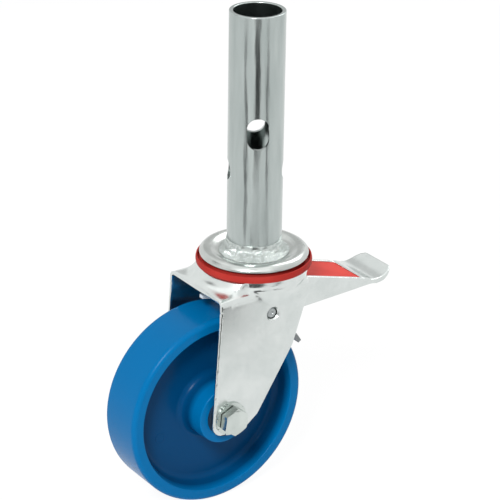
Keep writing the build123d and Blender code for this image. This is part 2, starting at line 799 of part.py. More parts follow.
# Moulded insert in the lever's channel
with BuildPart() as pedal_insert:
    insert_end = channel_end[0] - insert_gap
    slope = (pad_start[1] - peak[1]) / (pad_start[0] - peak[0])
    top_back_z = peak[1] - insert_recess
    top_end_z = peak[1] + slope * (insert_end - peak[0]) - insert_recess
    bottom_back_z = heel[1] + sheet + insert_lift
    floor_slope = (channel_end[1] - heel[1] - sheet) / (channel_end[0] - heel[0])
    bottom_end_z = bottom_back_z + floor_slope * (insert_end - heel[0])
    with BuildSketch(across(0)):
        with BuildLine():
            Polyline(
                (heel[0], bottom_back_z),
                (heel[0], top_back_z),
                (peak[0], top_back_z),
                (insert_end, top_end_z),
                (insert_end, bottom_end_z),
                close=True,
            )
        make_face()
    extrude(amount=lever_inner - insert_gap, both=True)
    underside = pedal_insert.faces().sort_by(Axis.Z)[0]
    offset(amount=-insert_wall, openings=underside)
pedal_insert.part.label = "pedal_insert"
export_step(pedal_insert.part, "parts/pedal_insert.step")


def from_arc(radius, angle):
    """A point of the side view, at a radius and an angle from the centre of the shoe's arc."""
    return (arc_x + radius * cos(radians(angle)), arc_z + radius * sin(radians(angle)))


# Brake shoe: an arc beside the tread and a foot under the lever's floor
with BuildPart() as brake_shoe:
    with BuildSketch(across(0)):
        with BuildLine():
            arc_middle = (shoe_start_angle + shoe_end_angle) / 2
            inner_start = from_arc(shoe_inner, shoe_start_angle)
            inner_end = from_arc(shoe_inner, shoe_end_angle)
            outer_start = from_arc(shoe_outer, shoe_start_angle)
            outer_end = from_arc(shoe_outer, shoe_end_angle)
            ThreePointArc(inner_start, from_arc(shoe_inner, arc_middle), inner_end)
            Line(inner_end, outer_end)
            ThreePointArc(outer_end, from_arc(shoe_outer, arc_middle), outer_start)
            Line(outer_start, inner_start)
        make_face()
    extrude(amount=shoe_width / 2, both=True)
    with BuildSketch(across(0)):
        with BuildLine():
            Polyline(
                under_lever(foot_start_x),
                under_lever(foot_end_x),
                under_lever(foot_end_x, shoe_thickness),
                under_lever(foot_start_x, shoe_thickness),
                close=True,
            )
        make_face()
    extrude(amount=shoe_width / 2, both=True)
    with BuildSketch(across(0)):
        with BuildLine():
            Polyline(
                heel,
                under_lever(heel[0], -lever_width),
                under_lever(pivot_x - lever_width, -lever_width),
                under_lever(pivot_x - lever_width),
                close=True,
            )
        make_face()
    extrude(amount=shoe_width, both=True, mode=Mode.SUBTRACT)
    with BuildSketch(rivet_plane):
        with GridLocations(1, shoe_rivet_spacing, 1, 2):
            Circle(shoe_rivet_radius + rivet_clearance)
    extrude(amount=-2 * shoe_thickness, mode=Mode.SUBTRACT)
brake_shoe.part.label = "brake_shoe"
export_step(brake_shoe.part, "parts/brake_shoe.step")

# Rivets that hold the shoe's foot under the lever's floor
with BuildPart() as shoe_rivets:
    with BuildSketch(rivet_plane.offset(-shoe_thickness - rivet_head_height)):
        with GridLocations(1, shoe_rivet_spacing, 1, 2):
            Circle(rivet_head_radius)
    extrude(amount=rivet_head_height)
    with BuildSketch(rivet_plane.offset(-shoe_thickness)):
        with GridLocations(1, shoe_rivet_spacing, 1, 2):
            Circle(shoe_rivet_radius)
    extrude(amount=shoe_thickness + sheet)
    with BuildSketch(rivet_plane.offset(sheet)):
        with GridLocations(1, shoe_rivet_spacing, 1, 2):
            Circle(rivet_head_radius)
    extrude(amount=rivet_head_height)
    chamfer(shoe_rivets.edges().filter_by(GeomType.CIRCLE).group_by(Axis.Z)[-1], rivet_chamfer)
shoe_rivets.part.label = "shoe_rivets"
export_step(shoe_rivets.part, "parts/shoe_rivets.step")

# Pawl on the lever's front web, with the tooth that rises into the lock ring
with BuildPart() as lock_pawl:
    tooth_top = king_nut_z - pawl_play
    tooth_swing = (tooth_top - pivot_z) * sin(radians(brake_angle))
    tooth_inner = -lock_ring_radius + lock_slot_depth - pawl_play - tooth_swing
    tooth_outer = tooth_inner - pawl_tooth
    nose_top = tooth_top - pawl_nose_drop
    with BuildSketch(across(0)):
        with BuildLine():
            Polyline(
                (web_x, pivot_z),
                (web_x, pivot_z + pawl_root_height),
                (tooth_inner, tooth_top - pawl_tooth_height),
                (tooth_inner, tooth_top),
                (tooth_outer, tooth_top),
                (tooth_outer - pawl_tooth_slant, tooth_top - pawl_back_drop),
                (web_x - pawl_length, nose_top),
                (web_x - pawl_length, nose_top - pawl_nose_height),
                (web_x - pawl_waist_reach, pivot_z + pawl_waist_rise),
                close=True,
            )
        make_face()
    extrude(amount=pawl_thickness / 2, both=True)
lock_pawl.part.label = "lock_pawl"
export_step(lock_pawl.part, "parts/lock_pawl.step")
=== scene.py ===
import bpy
import bmesh
import json
from math import atan2, cos, degrees, hypot, pi, radians, sin, tan
from mathutils import Matrix, Vector


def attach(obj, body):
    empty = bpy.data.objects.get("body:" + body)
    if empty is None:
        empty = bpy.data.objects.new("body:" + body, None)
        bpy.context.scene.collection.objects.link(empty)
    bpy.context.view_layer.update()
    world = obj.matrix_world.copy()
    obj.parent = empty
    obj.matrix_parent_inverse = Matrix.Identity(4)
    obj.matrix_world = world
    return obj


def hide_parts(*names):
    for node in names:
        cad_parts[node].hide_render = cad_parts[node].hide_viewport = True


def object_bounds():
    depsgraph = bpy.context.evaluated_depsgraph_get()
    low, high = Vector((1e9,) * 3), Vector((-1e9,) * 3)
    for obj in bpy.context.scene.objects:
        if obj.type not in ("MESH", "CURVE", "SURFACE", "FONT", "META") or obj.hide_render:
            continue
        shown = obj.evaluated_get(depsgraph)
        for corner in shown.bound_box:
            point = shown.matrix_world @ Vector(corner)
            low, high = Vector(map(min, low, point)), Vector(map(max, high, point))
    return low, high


# Scaffold castor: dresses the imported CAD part. Metres, +Z up the stem, +X towards the pedal.
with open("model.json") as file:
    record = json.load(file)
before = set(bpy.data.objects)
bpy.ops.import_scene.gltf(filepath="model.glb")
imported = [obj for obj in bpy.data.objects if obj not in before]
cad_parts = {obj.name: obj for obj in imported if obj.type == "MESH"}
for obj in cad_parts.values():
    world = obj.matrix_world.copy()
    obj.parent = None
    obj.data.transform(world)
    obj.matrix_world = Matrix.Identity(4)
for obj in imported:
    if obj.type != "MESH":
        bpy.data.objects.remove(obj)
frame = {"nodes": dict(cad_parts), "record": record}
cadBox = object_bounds()
nodes = frame["nodes"]
print("stage: frame loaded", len(nodes), "nodes")

# the photo's camera, fitted to the outlines of wheel, stem and cap
cameraView = {
    "place": (-0.832682, -1.188205, 0.634523),
    "right": (0.8235274, -0.56710556, 0.01392493),
    "up": (0.22016774, 0.34214869, 0.91348806),
    "forward": (0.52280856, 0.74921663, -0.40662717),
    "lens": 153.96,
    "sensor": 36.0,
}
lens = bpy.data.cameras.new("photoCamera")
lens.lens = cameraView["lens"]
lens.sensor_width = cameraView["sensor"]
photoCamera = bpy.data.objects.new("photoCamera", lens)
bpy.context.scene.collection.objects.link(photoCamera)
right, up, forward = (Vector(cameraView[k]).normalized() for k in ("right", "up", "forward"))
turnedView = Matrix((right, up, -forward)).transposed().to_4x4()
photoCamera.matrix_world = Matrix.Translation(cameraView["place"]) @ turnedView
bpy.context.scene.camera = photoCamera
bpy.context.scene.view_settings.view_transform = "Standard"
print("stage: camera")


# sRGB hex to a linear colour
def fromHex(code):
    parts = [int(code[i:i + 2], 16) / 255 for i in (0, 2, 4)]
    return tuple(c / 12.92 if c <= 0.04045 else ((c + 0.055) / 1.055) ** 2.4 for c in parts) + (1.0,)


# grey level as a colour, for ramps
def grey(level):
    return (level, level, level, 1.0)


# adds a shader node: settings are its properties, sockets by name or number, or ramp stops,
# and links join its sockets to other nodes, each given as (node, output)
def addNode(tree, kind, settings=None, links=None):
    node = tree.nodes.new("ShaderNode" + kind)
    for key, value in (settings or {}).items():
        if key == "stops":
            ramp = node.color_ramp
            while len(ramp.elements) < len(value):
                ramp.elements.new(0.5)
            for element, (position, colour) in zip(ramp.elements, value):
                element.position = position
                element.color = colour
        elif isinstance(key, int) or key in node.inputs:
            node.inputs[key].default_value = value
        else:
            setattr(node, key, value)
    for key, (source, output) in (links or {}).items():
        tree.links.new(source.outputs[output], node.inputs[key])
    return node


# an empty node material with a principled surface
def newMaterial(name, surface):
    material = bpy.data.materials.new(name)
    material.use_nodes = True
    tree = material.node_tree
    tree.nodes.clear()
    shader = addNode(tree, "BsdfPrincipled", surface)
    addNode(tree, "OutputMaterial", links={"Surface": (shader, "BSDF")})
    return material, tree, shader


# joins a colour, a roughness and a relief to the surface, each given as (node, output); the relief's
# depth is in metres
def wear(tree, shader, colour=None, roughness=None, relief=None, depth=0.0001, strength=0.1):
    if colour:
        tree.links.new(colour[0].outputs[colour[1]], shader.inputs["Base Color"])
    if roughness:
        tree.links.new(roughness[0].outputs[roughness[1]], shader.inputs["Roughness"])
    if relief:
        bump = addNode(tree, "Bump", {"Strength": strength, "Distance": depth}, {"Height": relief})
        tree.links.new(bump.outputs["Normal"], shader.inputs["Normal"])


# bright zinc plate on drawn sheet: pale, slightly green-grey and faintly cloudy on a 15 mm scale, with the
# fine rolled grain drawn about 1 mm coarse so that it shows
def zincSheet(name, light, dark, roughness, grain=900.0, strength=0.02):
    material, tree, shader = newMaterial(name, {"Metallic": 1.0, "Roughness": roughness})
    place = addNode(tree, "TexCoord")
    onPiece = {"Vector": (place, "Object")}
    cloud = addNode(tree, "TexNoise", {"Scale": 65.0, "Detail": 3.0, "Roughness": 0.6}, onPiece)
    stops = [(0.32, fromHex(dark)), (0.68, fromHex(light))]
    tint = addNode(tree, "ValToRGB", {"stops": stops}, {"Fac": (cloud, "Fac")})
    speck = addNode(tree, "TexNoise", {"Scale": grain, "Detail": 2.0}, onPiece)
    # the whole range stays on one side of 0.27, where the render's denoiser starts to leave grain
    limits = {"From Min": 0.3, "From Max": 0.7, "To Min": roughness - 0.03, "To Max": roughness + 0.04}
    spread = addNode(tree, "MapRange", limits, {"Value": (speck, "Fac")})
    wear(tree, shader, (tint, "Color"), (spread, "Result"), (speck, "Fac"), 0.0002, strength)
    return material


# bright zinc plate on drawn tube: lines along it 0.7 mm apart, and waves 8 mm wide that bend what it mirrors
def zincTube(name, light, dark):
    material, tree, shader = newMaterial(name, {"Metallic": 1.0, "Roughness": 0.3})
    place = addNode(tree, "TexCoord")
    onPiece = {"Vector": (place, "Object")}
    along = addNode(tree, "Mapping", {"Scale": (1.0, 1.0, 0.03)}, onPiece)
    lines = addNode(tree, "TexNoise", {"Scale": 1500.0, "Detail": 3.0}, {"Vector": (along, "Vector")})
    wave = addNode(tree, "Mapping", {"Scale": (1.0, 1.0, 0.16)}, onPiece)
    waves = addNode(tree, "TexNoise", {"Scale": 120.0, "Detail": 2.0}, {"Vector": (wave, "Vector")})
    stops = [(0.3, fromHex(dark)), (0.7, fromHex(light))]
    tint = addNode(tree, "ValToRGB", {"stops": stops}, {"Fac": (waves, "Fac")})
    spread = addNode(tree, "MapRange", {"To Min": 0.13, "To Max": 0.24}, {"Value": (lines, "Fac")})
    swell = addNode(tree, "Bump", {"Strength": 0.7, "Distance": 0.0006}, {"Height": (waves, "Fac")})
    bump = addNode(tree, "Bump", {"Strength": 0.06, "Distance": 0.0002},
                   {"Height": (lines, "Fac"), "Normal": (swell, "Normal")})
    wear(tree, shader, (tint, "Color"), (spread, "Result"))
    tree.links.new(bump.outputs["Normal"], shader.inputs["Normal"])
    return material


# zinc plate on a turned pressing: a soft mirror, with faint rings left by the lathe 1.7 mm apart
def polishedPlate(name, light, dark, roughness):
    material, tree, shader = newMaterial(name, {"Metallic": 1.0, "Roughness": roughness})
    place = addNode(tree, "TexCoord")
    onPiece = {"Vector": (place, "Object")}
    cloud = addNode(tree, "TexNoise", {"Scale": 55.0, "Detail": 3.0}, onPiece)
    stops = [(0.35, fromHex(dark)), (0.65, fromHex(light))]
    tint = addNode(tree, "ValToRGB", {"stops": stops}, {"Fac": (cloud, "Fac")})
    rings = addNode(tree, "TexWave", {"wave_type": "RINGS", "rings_direction": "Z", "Scale": 180.0,
                                      "Distortion": 1.2, "Detail": 2.0}, onPiece)
    wear(tree, shader, (tint, "Color"), None, (rings, "Fac"), 0.0001, 0.04)
    return material


# zinc plated weld bead: a smooth upper part, and under smoothAbove ripples 1.6 mm apart with spatter
def weldBead(name, light, dark, ripples, smoothAbove):
    material, tree, shader = newMaterial(name, {"Metallic": 1.0, "Roughness": 0.24})
    place = addNode(tree, "TexCoord")
    onPiece = {"Vector": (place, "Object")}
    axes = addNode(tree, "SeparateXYZ", {}, onPiece)
    angle = addNode(tree, "Math", {"operation": "ARCTAN2"}, {0: (axes, "Y"), 1: (axes, "X")})
    grit = addNode(tree, "TexNoise", {"Scale": 620.0, "Detail": 3.0}, onPiece)
    shift = addNode(tree, "Math", {"operation": "MULTIPLY", 1: 3.5}, {0: (grit, "Fac")})
    turns = addNode(tree, "Math", {"operation": "MULTIPLY_ADD", 1: ripples},
                    {0: (angle, "Value"), 2: (shift, "Value")})
    ripple = addNode(tree, "Math", {"operation": "SINE"}, {0: (turns, "Value")})
    low = addNode(tree, "MapRange", {"From Min": smoothAbove + 0.0015, "From Max": smoothAbove - 0.002},
                  {"Value": (axes, "Z")})
    mixed = addNode(tree, "Math", {"operation": "MULTIPLY_ADD", 1: 0.22},
                    {0: (ripple, "Value"), 2: (grit, "Fac")})
    height = addNode(tree, "Math", {"operation": "MULTIPLY"}, {0: (mixed, "Value"), 1: (low, "Result")})
    stops = [(0.4, fromHex(dark)), (0.6, fromHex(light))]
    tint = addNode(tree, "ValToRGB", {"stops": stops}, {"Fac": (grit, "Fac")})
    wear(tree, shader, (tint, "Color"), None, (height, "Value"), 0.0014, 0.8)
    return material


# injection moulded plastic: even colour with a faint flow mottle on a 22 mm scale, and the mould's texture
# drawn 0.7 mm coarse so that it shows
def moulded(name, light, dark, roughness, grain, strength, shine=0.5):
    material, tree, shader = newMaterial(name, {"IOR": 1.5, "Specular IOR Level": shine,
                                                "Roughness": roughness})
    place = addNode(tree, "TexCoord")
    onPiece = {"Vector": (place, "Object")}
    cloud = addNode(tree, "TexNoise", {"Scale": 45.0, "Detail": 2.0}, onPiece)
    stops = [(0.35, fromHex(dark)), (0.65, fromHex(light))]
    tint = addNode(tree, "ValToRGB", {"stops": stops}, {"Fac": (cloud, "Fac")})
    texture = addNode(tree, "TexNoise", {"Scale": grain, "Detail": 2.0}, onPiece)
    wear(tree, shader, (tint, "Color"), None, (texture, "Fac"), 0.0001, strength)
    return material


# cast blue nylon: smooth and evenly blue on tread, rim and hub, with painted shade darkening the wheel's
# recess, which is what lies under the rim's face and inside its wall
def wheelNylon(name, light, recessShade, roughness, centre, recess):
    material, tree, shader = newMaterial(name, {"IOR": 1.5, "Specular IOR Level": 0.08,
                                                "Roughness": roughness})
    place = addNode(tree, "TexCoord")
    onPiece = {"Vector": (place, "Object")}
    axes = addNode(tree, "SeparateXYZ", {}, onPiece)
    across = addNode(tree, "Math", {"operation": "ABSOLUTE"}, {0: (axes, "Y")})
    # painted shade: the colour darkens from the rim's face in to the web, inside the rim's wall, standing in
    # for the shade that falls in the recess
    shadeAcross = addNode(tree, "MapRange", {"From Min": recess["face"], "From Max": recess["web"]},
                   {"Value": (across, "Value")})
    flat = addNode(tree, "Mapping", {"Location": (-centre[0], 0.0, -centre[2]), "Scale": (1.0, 0.0, 1.0)},
                   onPiece)
    radius = addNode(tree, "VectorMath", {"operation": "LENGTH"}, {0: (flat, "Vector")})
    wall = {"From Min": recess["wall"] + 0.001, "From Max": recess["wall"] - 0.002}
    within = addNode(tree, "MapRange", wall, {"Value": (radius, "Value")})
    share = addNode(tree, "Math", {"operation": "MULTIPLY"}, {0: (shadeAcross, "Result"), 1: (within, "Result")})
    cloud = addNode(tree, "TexNoise", {"Scale": 45.0, "Detail": 2.0}, onPiece)
    mottle = addNode(tree, "Math", {"operation": "MULTIPLY_ADD", 1: 0.12},
                     {0: (cloud, "Fac"), 2: (share, "Value")})
    stops = [(0.06, fromHex(light)), (1.0, fromHex(recessShade))]
    tint = addNode(tree, "ValToRGB", {"stops": stops}, {"Fac": (mottle, "Value")})
    texture = addNode(tree, "TexNoise", {"Scale": 1800.0, "Detail": 2.0}, onPiece)
    wear(tree, shader, (tint, "Color"), None, (texture, "Fac"), 0.0001, 0.04)
    return material


finishes = {
    "zinc_steel": zincSheet("zincPlatedSheet", "d9dedc", "cfd5d3", 0.21),
    "zinc_tube": zincTube("zincPlatedTube", "b6bebc", "a8b1af"),
    "hardened_steel": zincSheet("groundBearingSteel", "c4c6c8", "b4b6b9", 0.18),
    "spring_steel": zincSheet("dullZincSpringSteel", "8b8f90", "767a7c", 0.42),
    # the wheel's second colour, 004676, is painted shade for its recess
    "blue_nylon": wheelNylon("blueCastNylon", "006fac", "004676", 0.26, (-0.0435, 0.0, -0.124),
                             {"face": 0.0195, "web": 0.013, "wall": 0.066}),
    "red_polymer": moulded("redPolypropylene", "ea483d", "e04037", 0.5, 1400.0, 0.2, 0.1),
    # the hub caps' dark navy is painted shade, standing in for the shadow between the leg and the hub
    "grey_nylon": moulded("hubCapNylonPaintedShade", "1c2f44", "16273a", 0.5, 1400.0, 0.2),
}
shoulderFinish = polishedPlate("polishedZincShoulder", "c9cdca", "b9bebb", 0.24)
beadFinish = weldBead("zincPlatedWeld", "cbd2cf", "b2bab7", 90.0, -0.0034)
boltFinish = zincSheet("zincPlatedFastener", "cfd6d2", "c0c8c4", 0.21, 1600.0, 0.05)
sealFinish = moulded("redSealRubber", "b83831", "ae302a", 0.55, 1400.0, 0.2, 0.1)
pinFinish = zincSheet("dullZincPin", "b4b9b9", "a2a8a8", 0.42)
bladeFinish = moulded("galvanisedBlade", "e6edf2", "dbe3e9", 0.5, 1400.0, 0.2)
for row in frame["record"]["subparts"]:
    piece = nodes[row["node"]]
    piece.data.materials.clear()
    piece.data.materials.append(finishes[row["material_slot"]])
print("stage: materials")

mm = 0.001  # the pieces are drawn in millimetres and brought to metres when they are finished
near = 0.1  # a corner or middle this close to a face counts as on it
smoothAngle = radians(35)
acrossTurn = (pi / 2, 0, 0)  # lays an upright bar along the axle's direction


# leaves edit mode with nothing selected
def deselectAll():
    if bpy.context.mode != "OBJECT":
        bpy.ops.object.mode_set(mode="OBJECT")
    bpy.ops.object.select_all(action="DESELECT")


# makes one piece the active one, and opens it with all of it selected where edit is asked for
def choose(piece, edit=False):
    deselectAll()
    bpy.context.view_layer.objects.active = piece
    piece.select_set(True)
    if edit:
        bpy.ops.object.mode_set(mode="EDIT")
        bpy.ops.mesh.select_mode(type="VERT")
        bpy.ops.mesh.select_all(action="SELECT")


# selects the corners, edges or faces of the open piece that pass the test, which is given their middle
def pick(kind, test):
    bpy.ops.mesh.select_mode(type=kind)
    bpy.ops.mesh.select_all(action="DESELECT")
    edit = bmesh.from_edit_mesh(bpy.context.object.data)
    for row in {"VERT": edit.verts, "EDGE": edit.edges, "FACE": edit.faces}[kind]:
        corners = [row] if kind == "VERT" else row.verts
        middle = sum((corner.co for corner in corners), Vector()) / len(corners)
        row.select_set(test(middle, row))
    edit.select_flush_mode()
    bmesh.update_edit_mesh(bpy.context.object.data)


# smooths the open piece within a zone: ranges of x, of |y| and of z, and what lies outside a radius
def rub(zone):
    sides = {"x": (-200, 200), "y": (-1, 200), "z": (-200, 200), "outside": -1, **zone}

    def within(middle, row):
        spot = (middle.x, abs(middle.y), middle.z)
        inBox = all(sides[k][0] < v < sides[k][1] for k, v in zip("xyz", spot))
        return inBox and hypot(middle.x, middle.y) > sides["outside"]

    pick("VERT", within)
    bpy.ops.mesh.vertices_smooth(factor=0.5, repeat=zone["passes"])


# adds a modifier with its settings and applies it
def modify(piece, kind, **settings):
    choose(piece)
    change = piece.modifiers.new(kind.lower(), kind)
    for key, value in settings.items():
        setattr(change, key, value)
    bpy.ops.object.modifier_apply(modifier=change.name)


# joins a tool to a piece, or cuts it out, and clears the tool away
def combine(piece, tool, operation):
    modify(piece, "BOOLEAN", operation=operation, solver="EXACT", object=tool)
    bpy.data.objects.remove(tool)


# rounds each corner (a, b, radius) of an outline; a corner with no third number stays sharp
def softened(corners, steps=6):
    points = []
    for i, corner in enumerate(corners):
        here = Vector(corner[:2])
        if len(corner) < 3:
            points.append(here)
            continue
        back = (Vector(corners[i - 1][:2]) - here).normalized()
        ahead = (Vector(corners[(i + 1) % len(corners)][:2]) - here).normalized()
        half = back.angle(ahead) / 2
        centre = here + (back + ahead).normalized() * (corner[2] / sin(half))
        start = here + back * (corner[2] / tan(half)) - centre
        end = here + ahead * (corner[2] / tan(half)) - centre
        sweep = start.angle_signed(end)
        for k in range(steps + 1):
            points.append(centre + Matrix.Rotation(-sweep * k / steps, 2) @ start)
    return points


# draws a chain of edges by pulling one corner from point to point
def drawChain(name, points):
    deselectAll()
    bpy.ops.mesh.primitive_plane_add(size=1.0, location=points[0])
    bpy.ops.object.transform_apply()
    piece = bpy.context.object
    piece.name = name
    choose(piece, edit=True)
    bpy.ops.mesh.merge(type="CENTER")
    for here, there in zip(points, points[1:]):
        step = [b - a for a, b in zip(here, there)]
        bpy.ops.mesh.extrude_region_move(TRANSFORM_OT_translate={"value": step})
    bpy.ops.mesh.select_all(action="SELECT")
    return piece


# closes doubled corners and turns all faces outwards
def tidyMesh(apart=0.002):
    bpy.ops.mesh.select_all(action="SELECT")
    bpy.ops.mesh.remove_doubles(threshold=apart)
    bpy.ops.mesh.normals_make_consistent(inside=False)


# turns a section of (radius, height) corners round an upright axis, or round the axle's direction
def turned(name, corners, steps, centre=(0, 0, 0), axis="Z", cuts=0, rounding=6):
    run = softened(corners, rounding)
    if run[0].x > 0.001:
        run.append(run[0])
    x, y, z = centre
    points = [(x + r, y, z + h) if axis == "Z" else (x + r, y + h, z) for r, h in run]
    piece = drawChain(name, points)
    if cuts:
        bpy.ops.mesh.subdivide(number_cuts=cuts)
    direction = (0, 0, 1) if axis == "Z" else (0, 1, 0)
    bpy.ops.mesh.spin(steps=steps, angle=2 * pi, center=centre, axis=direction)
    tidyMesh()
    deselectAll()
    return piece


# pulls an outline into a block: a side view (x, z) across the part, or a plan (x, y) upwards
def blocked(name, corners, low, high, plan=False, rounding=6):
    run = softened(corners, rounding)
    run.append(run[0])
    piece = drawChain(name, [(a, b, low) if plan else (a, low, b) for a, b in run])
    bpy.ops.mesh.remove_doubles(threshold=0.002)
    bpy.ops.mesh.edge_face_add()
    pull = (0, 0, high - low) if plan else (0, high - low, 0)
    bpy.ops.mesh.extrude_region_move(TRANSFORM_OT_translate={"value": pull})
    tidyMesh()
    deselectAll()
    return piece


# a plain bar along a direction given by its turn, used to cut holes
def bar(name, radius, length, place, turn, sides=64):
    deselectAll()
    bpy.ops.mesh.primitive_cylinder_add(vertices=sides, radius=radius, depth=length, location=place,
                                        rotation=turn)
    bpy.ops.object.transform_apply()
    bpy.context.object.name = name
    return bpy.context.object


def finishPiece(piece, body, replaced, finish, edge=0.0, steps=2):
    if edge:
        modify(piece, "BEVEL", width=edge, segments=steps, limit_method="ANGLE", angle_limit=smoothAngle)
    choose(piece)
    piece.scale = (mm, mm, mm)
    bpy.ops.object.transform_apply()
    bpy.ops.object.shade_smooth_by_angle(angle=smoothAngle)
    modify(piece, "WEIGHTED_NORMAL", keep_sharp=True)
    piece.data.materials.clear()
    piece.data.materials.append(finish)
    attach(piece, body)
    if replaced:
        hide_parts(*replaced)
    print("stage:", piece.name, len(piece.data.polygons), "faces")


# holes through the legs: cutters reach past both, and the pivot's mouth is a shallow counterbore
axle = {"x": -43.5, "z": -124.0, "radius": 6.0, "hole": 6.1}
pivot = {"x": -6.3, "z": -48.0, "hole": 4.5, "mouth": 5.6, "mouthTop": 36.0, "mouthEdge": 34.9,
         "mouthFoot": 33.7}
cutterLength = 90.0
axleCentre = (axle["x"], 0, axle["z"])
pivotCentre = (pivot["x"], 0, pivot["z"])

# wheel: half a section, from bore over hub, web and rim to the tread, as (from axle, from middle, rounding)
wheelShape = {
    "half": [(13.2, 29.0), (22.5, 29.0, 1.0), (24.0, 5.5, 5.5), (62.0, 5.5, 5.5), (66.0, 20.0, 1.2),
             (75.0, 20.0, 3.7)],
    "steps": 256,
    "markRing": [(3.3, -5.2), (3.4, -5.7, 0.1), (4.1, -5.7, 0.1), (4.2, -5.2)],
    "markRadius": 46.4,
    "markAngles": (-157.8, -37.8, 82.2),
}
half = wheelShape["half"]
section = half + [(row[0], -row[1], *row[2:]) for row in reversed(half)]
castWheel = turned("castWheel", section, wheelShape["steps"], axleCentre, "Y", rounding=8)
finishPiece(castWheel, "wheel", ["wheel"], finishes["blue_nylon"])
# rings left by the mould's ejector pins
for number, angle in enumerate(wheelShape["markAngles"]):
    spot = (axle["x"] + wheelShape["markRadius"] * cos(radians(angle)), 0,
            axle["z"] + wheelShape["markRadius"] * sin(radians(angle)))
    ring = turned("mouldRing%d" % (number + 1), wheelShape["markRing"], 48, spot, "Y", rounding=2)
    finishPiece(ring, "wheel", [], finishes["blue_nylon"])

# stem: the tube with its turned foot, an upright slot and a pin hole
stemShape = {
    "section": [(18.0, -10.4), (20.0, -10.4), (20.0, 0.0), (20.5, 0.0), (20.5, 175.0, 0.6),
                (17.5, 175.0, 0.6), (17.5, 0.0), (18.0, 0.0)],
    "steps": 256,
    "slotZ": 87.7, "slotAngle": -120.0, "slotRadius": 8.0, "slotReach": 4.0,
    "pinZ": 54.5, "pinAngle": -30.0, "pinRadius": 8.0,
    "cutter": 60.0, "edge": 0.35,
}
stem = turned("drawnStem", stemShape["section"], stemShape["steps"])
slot = bar("slotCutter", stemShape["slotRadius"], stemShape["cutter"], (0, 0, stemShape["slotZ"]),
           (0, pi / 2, radians(stemShape["slotAngle"])))
for way in (1, -1):
    choose(slot, edit=True)
    pick("VERT", lambda middle, row: (middle.z - stemShape["slotZ"]) * way > near)
    bpy.ops.transform.translate(value=(0, 0, way * stemShape["slotReach"]))
combine(stem, slot, "DIFFERENCE")
pinHole = bar("pinHoleCutter", stemShape["pinRadius"], stemShape["cutter"], (0, 0, stemShape["pinZ"]),
              (0, pi / 2, radians(stemShape["pinAngle"])))
combine(stem, pinHole, "DIFFERENCE")
finishPiece(stem, "stem", ["stem_tube"], finishes["zinc_tube"], stemShape["edge"])

# weld: a hollow fillet of bead that runs out over the shoulder, its lower part lumpy
weldShape = {
    "section": [(20.1, -10.5), (26.0, -10.5), (26.5, -10.1, 0.1), (26.3, -9.7, 0.1), (23.2, -7.9, 5.0),
                (21.4, -3.5, 8.0), (20.85, 0.3, 0.2), (20.1, 0.35)],
    "steps": 288,
    "grain": 2.2, "lumps": 0.35, "lumpLevel": 0.6,
    "roughBelow": -3.4, "roughAbove": -9.7, "roughOutside": 21.0,
}
weld = turned("weldBead", weldShape["section"], weldShape["steps"], cuts=2)
lumps = bpy.data.textures.new("weldLumps", "CLOUDS")
lumps.noise_scale = weldShape["grain"]
lowBead = weld.vertex_groups.new(name="lowBead")
rough = [v.index for v in weld.data.vertices if weldShape["roughAbove"] < v.co.z < weldShape["roughBelow"]
         and hypot(v.co.x, v.co.y) > weldShape["roughOutside"]]
lowBead.add(rough, 1.0, "REPLACE")
modify(weld, "DISPLACE", texture=lumps, strength=weldShape["lumps"], mid_level=weldShape["lumpLevel"],
       vertex_group="lowBead")
finishPiece(weld, "stem", ["stem_weld"], beadFinish)

# shoulder: the plate with its pressed ridge, the hub, the spigot in the stem and the upper ball groove
shoulderShape = {
    "section": [
        (8.1, -10.4), (14.9, -10.4), (14.9, -2.4), (17.9, -2.4), (17.9, -10.4), (26.5, -10.35),
        (29.0, -9.6, 4.0), (32.5, -8.1, 6.0), (35.8, -7.5, 8.0), (38.8, -8.4, 4.5), (40.8, -10.6, 1.5),
        (40.8, -12.0, 0.4), (37.8, -13.6, 0.4), (34.1, -13.6), (33.3, -12.4), (31.0, -11.5), (28.7, -12.4),
        (27.9, -13.6), (13.0, -13.6), (13.0, -27.0), (8.1, -27.0),
    ],
    "steps": 256,
}
shoulder = turned("domedShoulder", shoulderShape["section"], shoulderShape["steps"])
finishPiece(shoulder, "stem", ["top_cap"], shoulderFinish)

# dust seal: a moulded ring with a thin outer wall, a groove, and a lip that stands close under the shoulder
sealShape = {
    "section": [(35.8, -19.0), (43.2, -19.0, 0.4), (43.6, -16.6, 6.0), (43.0, -14.0, 0.35),
                (42.0, -14.0, 0.25), (41.9, -17.9, 0.4), (38.6, -17.9, 0.4), (38.4, -13.9, 0.15),
                (36.8, -13.9, 0.15)],
    "steps": 256,
}
seal = turned("dustRing", sealShape["section"], sealShape["steps"])
finishPiece(seal, "fork", ["dust_seal"], sealFinish)

